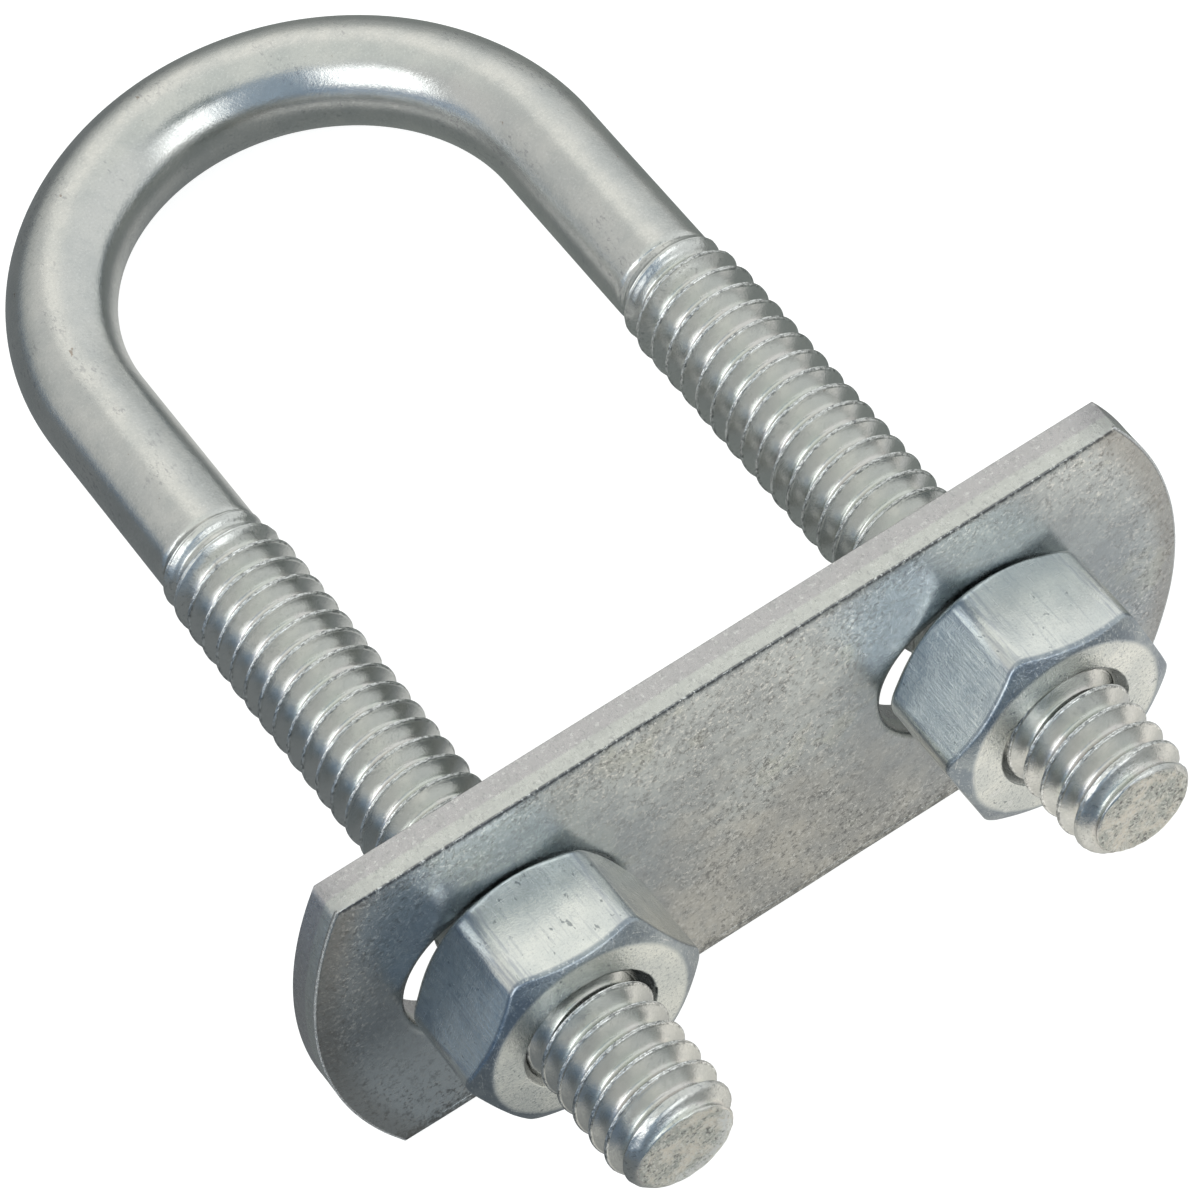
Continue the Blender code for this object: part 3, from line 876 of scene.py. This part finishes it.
def plate_material():
    """Grainy zinc on a punched strip: brown along the end arcs, two bands on the sheared walls."""
    material, nodes = new_material("zinc_plate")
    place = millimetres(nodes)
    x, y, z = split_place(nodes, place)
    facing = facing_parts(nodes)
    face = nodes.ramp(nodes.math("ABSOLUTE", facing[1]), 0.45, 0.7)
    wall = nodes.minus(1.0, face)
    cloud = nodes.noise(place, 0.30, 5.0, 0.62)
    blotch = nodes.noise(place, 1.3, 6.0, 0.7)
    patches = nodes.noise(nodes.stretch(place, (1, 1, 1), (0.2, 0.5, 0.1)), 0.28, 3.0, 0.55)
    grain = nodes.noise(place, 3.2, 6.0, 0.84)
    crumbs = nodes.noise(nodes.stretch(place, (1, 1, 1), (0.7, 0.2, 0.4)), 4.6, 5.0, 0.78)

    # Warmer low in the middle, with clouds and patches
    height = nodes.plus(z, nodes.times(nodes.minus(cloud, 0.5), 26))
    warmth = nodes.times(nodes.ramp(height, 3.0, -5.0), nodes.ramp(nodes.math("ABSOLUTE", x), 16, 9))
    tint = nodes.mix(warmth, colour(0.66, 0.695, 0.70), colour(0.74, 0.72, 0.67))
    tint = nodes.mix(nodes.ramp(cloud, 0.56, 0.66, 0.0, 0.5), tint, colour(0.80, 0.80, 0.68))
    tint = nodes.mix(nodes.ramp(blotch, 0.45, 0.66, 0.0, 0.50), tint, colour(0.52, 0.535, 0.54))
    tint = nodes.mix(nodes.ramp(patches, 0.56, 0.40, 0.0, 0.42), tint, colour(0.42, 0.44, 0.46))
    # Painted reflection and shade: darker blue round the nuts and high on the left end, paler low on the
    # left end, as the face mirrors the nuts and the shaded and lit floor
    reach = leg_distance(nodes, x, z)
    left_end = nodes.ramp(x, -13.5, -18)
    low = nodes.ramp(z, 1.0, -6.0)
    pale = nodes.minus(1.0, nodes.times(left_end, low))
    # Painted reflection: the plate mirroring the nuts' dark flats, made darker and bluer near them
    nut_reflection_shade = nodes.times(nodes.ramp(reach, 11.0, 6.5, 0.0, 0.42), pale)
    tint = nodes.mix(nodes.times(nut_reflection_shade, face), tint, colour(0.32, 0.375, 0.43))
    high_left = nodes.times(left_end, nodes.minus(1.0, low))
    tint = nodes.mix(nodes.times(high_left, 0.40), tint, colour(0.30, 0.33, 0.37))
    tint = nodes.mix(nodes.times(nodes.times(left_end, low), 0.80), tint, colour(0.92, 0.97, 1.0))
    # Dark and pale grains, the pale ones partly painted glints, and pepper along the lower long edge
    grit = nodes.times(nodes.ramp(reach, 6.5, 10.5, 0.40, 1.0), nodes.ramp(cloud, 0.36, 0.60, 0.6, 1.0))
    dark_grains = nodes.times(grit, nodes.ramp(grain, 0.50, 0.60, 0.0, 0.86))
    tint = nodes.mix(dark_grains, tint, colour(0.22, 0.22, 0.22))
    # Pale grains: partly real grain, partly painted glints
    pale_grains_and_glints = nodes.times(grit, nodes.ramp(crumbs, 0.53, 0.61, 0.0, 0.86))
    tint = nodes.mix(pale_grains_and_glints, tint, colour(1.0, 0.99, 0.96))
    edge_distance = nodes.minus(PLATE_HIGH.z / MM, nodes.math("ABSOLUTE", z))
    low_edge = nodes.times(nodes.ramp(edge_distance, 1.3, 0.2), nodes.ramp(z, 0.0, -1.0))
    pepper = nodes.times(low_edge, nodes.ramp(grain, 0.42, 0.52))
    tint = nodes.mix(nodes.times(pepper, 0.75), tint, colour(0.20, 0.20, 0.19))

    # Brown along the end arcs
    arc_centre = (PLATE_HIGH.x - PLATE_END_RADIUS) / MM
    aside = nodes.minus(nodes.math("ABSOLUTE", x), arc_centre)
    squares = nodes.plus(nodes.times(aside, aside), nodes.times(z, z))
    arc_distance = nodes.minus(PLATE_END_RADIUS / MM, nodes.math("SQRT", squares))
    brown = nodes.ramp(arc_distance, 1.9, 0.5, 0.0, 0.50)
    tint = nodes.mix(nodes.times(brown, face), tint, colour(0.42, 0.385, 0.345))

    # Walls in two bands, with hairs and grains
    front = nodes.ramp(y, -0.95, -1.12)
    hairs = nodes.noise(nodes.stretch(place, (6.5, 2.2, 6.5)), 1.0, 6.0, 0.8)
    wall_tint = nodes.mix(front, colour(0.64, 0.62, 0.63), colour(0.74, 0.75, 0.72))
    wall_tint = nodes.mix(nodes.ramp(blotch, 0.48, 0.68, 0.0, 0.35), wall_tint, colour(0.60, 0.60, 0.59))
    wall_tint = nodes.mix(nodes.ramp(hairs, 0.56, 0.62, 0.0, 0.5), wall_tint, colour(0.36, 0.37, 0.38))
    wall_tint = nodes.mix(nodes.ramp(grain, 0.52, 0.62, 0.0, 0.45), wall_tint, colour(0.42, 0.42, 0.42))
    wall_tint = nodes.mix(nodes.ramp(crumbs, 0.55, 0.64, 0.0, 0.55), wall_tint, colour(0.98, 0.98, 0.96))
    tint = nodes.mix(wall, tint, wall_tint)
    # Painted shade: a dark line along the creases of the long edges. Painted highlight: a bright line
    # along the burrs of the end arcs
    crease_shade = nodes.times(nodes.ramp(edge_distance, 0.20, 0.09), nodes.ramp(y, -1.80, -1.88))
    crease_shade = nodes.times(crease_shade, nodes.ramp(crumbs, 0.60, 0.51))
    tint = nodes.mix(nodes.times(crease_shade, 0.8), tint, colour(0.12, 0.12, 0.13))
    # Painted highlight along the end arcs; the same mask also bumps the burrs there
    burr_and_highlight = nodes.times(nodes.ramp(arc_distance, 0.16, 0.06), nodes.ramp(y, -1.70, -1.80))
    tint = nodes.mix(burr_and_highlight, tint, colour(0.98, 0.98, 0.98))

    rough = nodes.ramp(blotch, 0.3, 0.75, 0.18, 0.30)
    rough = nodes.plus(rough, nodes.times(wall, 0.06))
    normal = nodes.bump(cloud, 0.05, 0.6 * MM)
    normal = nodes.bump(nodes.times(grit, grain), 0.42, 0.05 * MM, normal)
    normal = nodes.bump(nodes.times(wall, hairs), 0.4, 0.06 * MM, normal)
    normal = nodes.bump(nodes.times(burr_and_highlight, crumbs), 1.0, 0.30 * MM, normal)
    finish_metal(nodes, tint, rough, normal)
    return material


# ---------------------------------------------------------------- studio
# Parts of the tent as (left, right, bottom, top) in degrees, the soft edge in degrees and the light.
# Azimuth 0 is the way from the object towards -Y and 90 towards +X.
DARK_WINDOWS = (
    ((-44, 6, -90, 62), 4, colour(0.31, 0.39, 0.47)),
    ((-110, -30, -30, 15), 4, colour(0.29, 0.38, 0.49)),
    ((-40, 20, -30, 9), 4, colour(0.17, 0.22, 0.28)),
    ((8, 44, 50, 63), 3, colour(0.20, 0.245, 0.25)),
)
SOFT_BOXES = (
    ((-90, -45, 20, 54), 3, colour(2.15, 2.2, 2.2)),
    ((5, 36, 12, 47), 3, colour(1.7, 1.75, 1.75)),
)


def window(nodes, azimuth, elevation, box, soft):
    """1 inside a box of directions in degrees, fading to 0 over a soft edge."""
    left, right, bottom, top = box
    after_left = nodes.ramp(azimuth, left - soft, left + soft)
    before_right = nodes.ramp(azimuth, right + soft, right - soft)
    over_bottom = nodes.ramp(elevation, bottom - soft, bottom + soft)
    under_top = nodes.ramp(elevation, top + soft, top - soft)
    return nodes.times(nodes.times(after_left, before_right), nodes.times(over_bottom, under_top))


def studio_world():
    """A bright tent: two large soft boxes in front, a dark gap between them, a grey floor below."""
    world = bpy.data.worlds.new("studio")
    bpy.context.scene.world = world
    world.use_nodes = True
    nodes = Nodes(world.node_tree)
    way = nodes.add("ShaderNodeTexCoord").outputs["Generated"]
    across, along, up = split_place(nodes, way)
    azimuth = nodes.math("ARCTAN2", across, nodes.times(along, -1.0))
    azimuth = nodes.times(azimuth, math.degrees(1))
    elevation = nodes.times(nodes.math("ARCSINE", up), math.degrees(1))

    walls = nodes.mix(nodes.ramp(azimuth, 20, 50), colour(0.62, 0.63, 0.62), colour(0.76, 0.785, 0.775))
    walls = nodes.mix(nodes.ramp(azimuth, 125, 160), walls, colour(0.95, 0.95, 0.90))
    walls = nodes.mix(nodes.ramp(azimuth, -100, -150), walls, colour(0.64, 0.65, 0.63))
    upper = nodes.mix(nodes.ramp(elevation, 52, 70), walls, colour(0.76, 0.79, 0.755))
    behind = nodes.times(nodes.ramp(along, 0.35, 0.8), nodes.ramp(elevation, 40, 5))
    upper = nodes.mix(behind, upper, colour(0.36, 0.38, 0.37))
    for box, soft, shade in DARK_WINDOWS:
        upper = nodes.mix(window(nodes, azimuth, elevation, box, soft), upper, shade)
    lower = nodes.mix(nodes.ramp(elevation, -50, -75), colour(0.21, 0.23, 0.22), colour(0.30, 0.30, 0.27))
    scene_colour = nodes.mix(nodes.ramp(elevation, 6, -8), upper, lower)
    for box, soft, shade in SOFT_BOXES:
        scene_colour = nodes.mix(window(nodes, azimuth, elevation, box, soft), scene_colour, shade)

    seen = nodes.add("ShaderNodeBackground")
    seen.inputs["Color"].default_value = colour(1.0, 1.0, 1.0)
    seen.inputs["Strength"].default_value = 1.0
    light = nodes.add("ShaderNodeBackground")
    nodes.join(scene_colour, light.inputs["Color"])
    light.inputs["Strength"].default_value = 1.0
    choose = nodes.add("ShaderNodeMixShader")
    nodes.join(nodes.add("ShaderNodeLightPath").outputs["Is Camera Ray"], choose.inputs[0])
    nodes.join(light.outputs[0], choose.inputs[1])
    nodes.join(seen.outputs[0], choose.inputs[2])
    output = nodes.add("ShaderNodeOutputWorld")
    nodes.join(choose.outputs[0], output.inputs["Surface"])
    world.cycles.sampling_method = "MANUAL"
    world.cycles.sample_map_resolution = 1024


def floor_mesh():
    """A square that the plate's lower edge and the underside of the bend both rest on."""
    plate_point = Vector((0, 0.5 * (PLATE_LOW.y + PLATE_HIGH.y), PLATE_LOW.z))
    bend_point = Vector((0, BEND_CENTRE_Y + LEG_X, -SHANK_RADIUS))
    along = (bend_point - plate_point).normalized()
    normal = Vector((1, 0, 0)).cross(along)
    centre = plate_point + along * 20 * MM - normal * 0.08 * MM
    half = 1200 * MM
    shape = bmesh.new()
    corners = []
    for x, y in ((-1, -1), (1, -1), (1, 1), (-1, 1)):
        corners.append(shape.verts.new(centre + Vector((x, 0, 0)) * half + along * y * half))
    shape.faces.new(corners)
    mesh = bpy.data.meshes.new("floor")
    shape.to_mesh(mesh)
    shape.free()
    return mesh


def floor_reflection(nodes, position):
    """What the metal sees of the floor, as painted light and shadow: lit before the nuts, between the legs
    and far off, with painted shadow elsewhere.
    """
    place = nodes.stretch(position, (1 / MM, 1 / MM, 1 / MM))
    x, y, _ = split_place(nodes, place)
    far = nodes.add("ShaderNodeVectorMath", operation="LENGTH")
    nodes.join(place, far.inputs[0])
    aside = nodes.math("ABSOLUTE", nodes.plus(y, 7.0))
    lean = nodes.plus(x, nodes.times(aside, 0.8))
    # Painted light: a lit patch before the nuts; painted shadow to its left, as if cast by the left nut
    # and leg
    lit = nodes.times(nodes.ramp(lean, -16, -1), nodes.ramp(y, 1.5, -2.5))
    lit = nodes.times(lit, nodes.ramp(y, -38, -27))
    look = nodes.mix(nodes.ramp(x, -105, -45), colour(0.125, 0.195, 0.285), colour(0.18, 0.195, 0.20))
    look = nodes.mix(nodes.ramp(y, -24, -50), look, colour(0.14, 0.185, 0.24))
    look = nodes.mix(nodes.ramp(x, -10, 15), look, colour(0.21, 0.23, 0.22))
    glow = nodes.mix(nodes.ramp(x, 5, 20), colour(0.50, 0.50, 0.475), colour(0.59, 0.60, 0.595))
    glow = nodes.mix(nodes.ramp(y, -7, -14), glow, colour(0.68, 0.67, 0.62))
    front = nodes.mix(nodes.ramp(x, -2, 12), colour(0.77, 0.76, 0.70), colour(0.96, 0.93, 0.87))
    glow = nodes.mix(nodes.ramp(y, -14, -19), glow, front)
    look = nodes.mix(lit, look, glow)
    # Painted light: a pale patch between the legs, mirrored in the underside of the bend
    sides = nodes.times(nodes.ramp(x, -12.5, -10), nodes.ramp(x, 3, -6))
    between = nodes.times(sides, nodes.times(nodes.ramp(y, 3, 6), nodes.ramp(y, 47, 41)))
    look = nodes.mix(between, look, colour(0.60, 0.61, 0.59))
    horizon = nodes.times(nodes.ramp(far.outputs["Value"], 20, 160, 0.0, 0.8), nodes.ramp(x, -15, 20))
    return nodes.mix(horizon, look, colour(0.5, 0.51, 0.5))


def floor_material():
    """White with soft shadows to the camera, painted light and shadow zones to the metal, and clear from
    below.
    """
    material, nodes = new_material("pale_floor")
    geometry = nodes.add("ShaderNodeNewGeometry")
    mirrored = nodes.add("ShaderNodeEmission")
    nodes.join(floor_reflection(nodes, geometry.outputs["Position"]), mirrored.inputs["Color"])
    shader = nodes.add("ShaderNodeBsdfPrincipled")
    shader.inputs["Base Color"].default_value = colour(0.50, 0.505, 0.50)
    shader.inputs["Roughness"].default_value = 0.9
    shader.inputs["Specular IOR Level"].default_value = 0.0
    shader.inputs["Emission Color"].default_value = colour(1.0, 1.0, 1.0)
    shader.inputs["Emission Strength"].default_value = 0.84
    seen = nodes.add("ShaderNodeMixShader")
    nodes.join(nodes.add("ShaderNodeLightPath").outputs["Is Camera Ray"], seen.inputs[0])
    nodes.join(mirrored.outputs[0], seen.inputs[1])
    nodes.join(shader.outputs[0], seen.inputs[2])
    clear = nodes.add("ShaderNodeBsdfTransparent")
    choose = nodes.add("ShaderNodeMixShader")
    nodes.join(geometry.outputs["Backfacing"], choose.inputs[0])
    nodes.join(seen.outputs[0], choose.inputs[1])
    nodes.join(clear.outputs[0], choose.inputs[2])
    output = nodes.add("ShaderNodeOutputMaterial")
    nodes.join(choose.outputs[0], output.inputs["Surface"])
    return material


def studio_floor():
    mesh = floor_mesh()
    mesh.materials.append(floor_material())
    floor = bpy.data.objects.new("floor", mesh)
    bpy.context.scene.collection.objects.link(floor)


def studio_camera():
    """A long lens above the leg ends, looking down over the plate to the bend."""
    azimuth, elevation, roll = -0.403141, 0.950832, -0.219354
    aim = Vector((0.10, 11.27, 0.0)) * MM
    distance = 297.1 * MM
    back = Vector((
        math.sin(azimuth) * math.cos(elevation),
        -math.cos(azimuth) * math.cos(elevation),
        math.sin(elevation),
    ))
    level = (-back).cross(Vector((0, 0, 1))).normalized()
    rise = level.cross(-back)
    right = level * math.cos(roll) + rise * math.sin(roll)
    up = rise * math.cos(roll) - level * math.sin(roll)
    lens = bpy.data.cameras.new("camera")
    lens.sensor_width = 36.0
    lens.lens = 192.14
    lens.clip_start = 0.01
    lens.clip_end = 10.0
    camera = bpy.data.objects.new("camera", lens)
    bpy.context.scene.collection.objects.link(camera)
    turn = Matrix((right, up, back)).transposed()
    camera.matrix_world = Matrix.Translation(aim + back * distance) @ turn.to_4x4()
    bpy.context.scene.camera = camera


# ---------------------------------------------------------------- build
nut_zinc = nut_material()
make_rod(rod_material())
make_plate(plate_material())
make_nut("left_nut", -LEG_X, LEFT_CREST_Y, LEFT_NUT_CORNER, "left_nut", nut_zinc, 5.5)
make_nut("right_nut", LEG_X, RIGHT_CREST_Y, RIGHT_NUT_CORNER, "right_nut", nut_zinc, 8.2)
studio_world()
studio_floor()
studio_camera()
bpy.context.scene.view_settings.view_transform = "Standard"
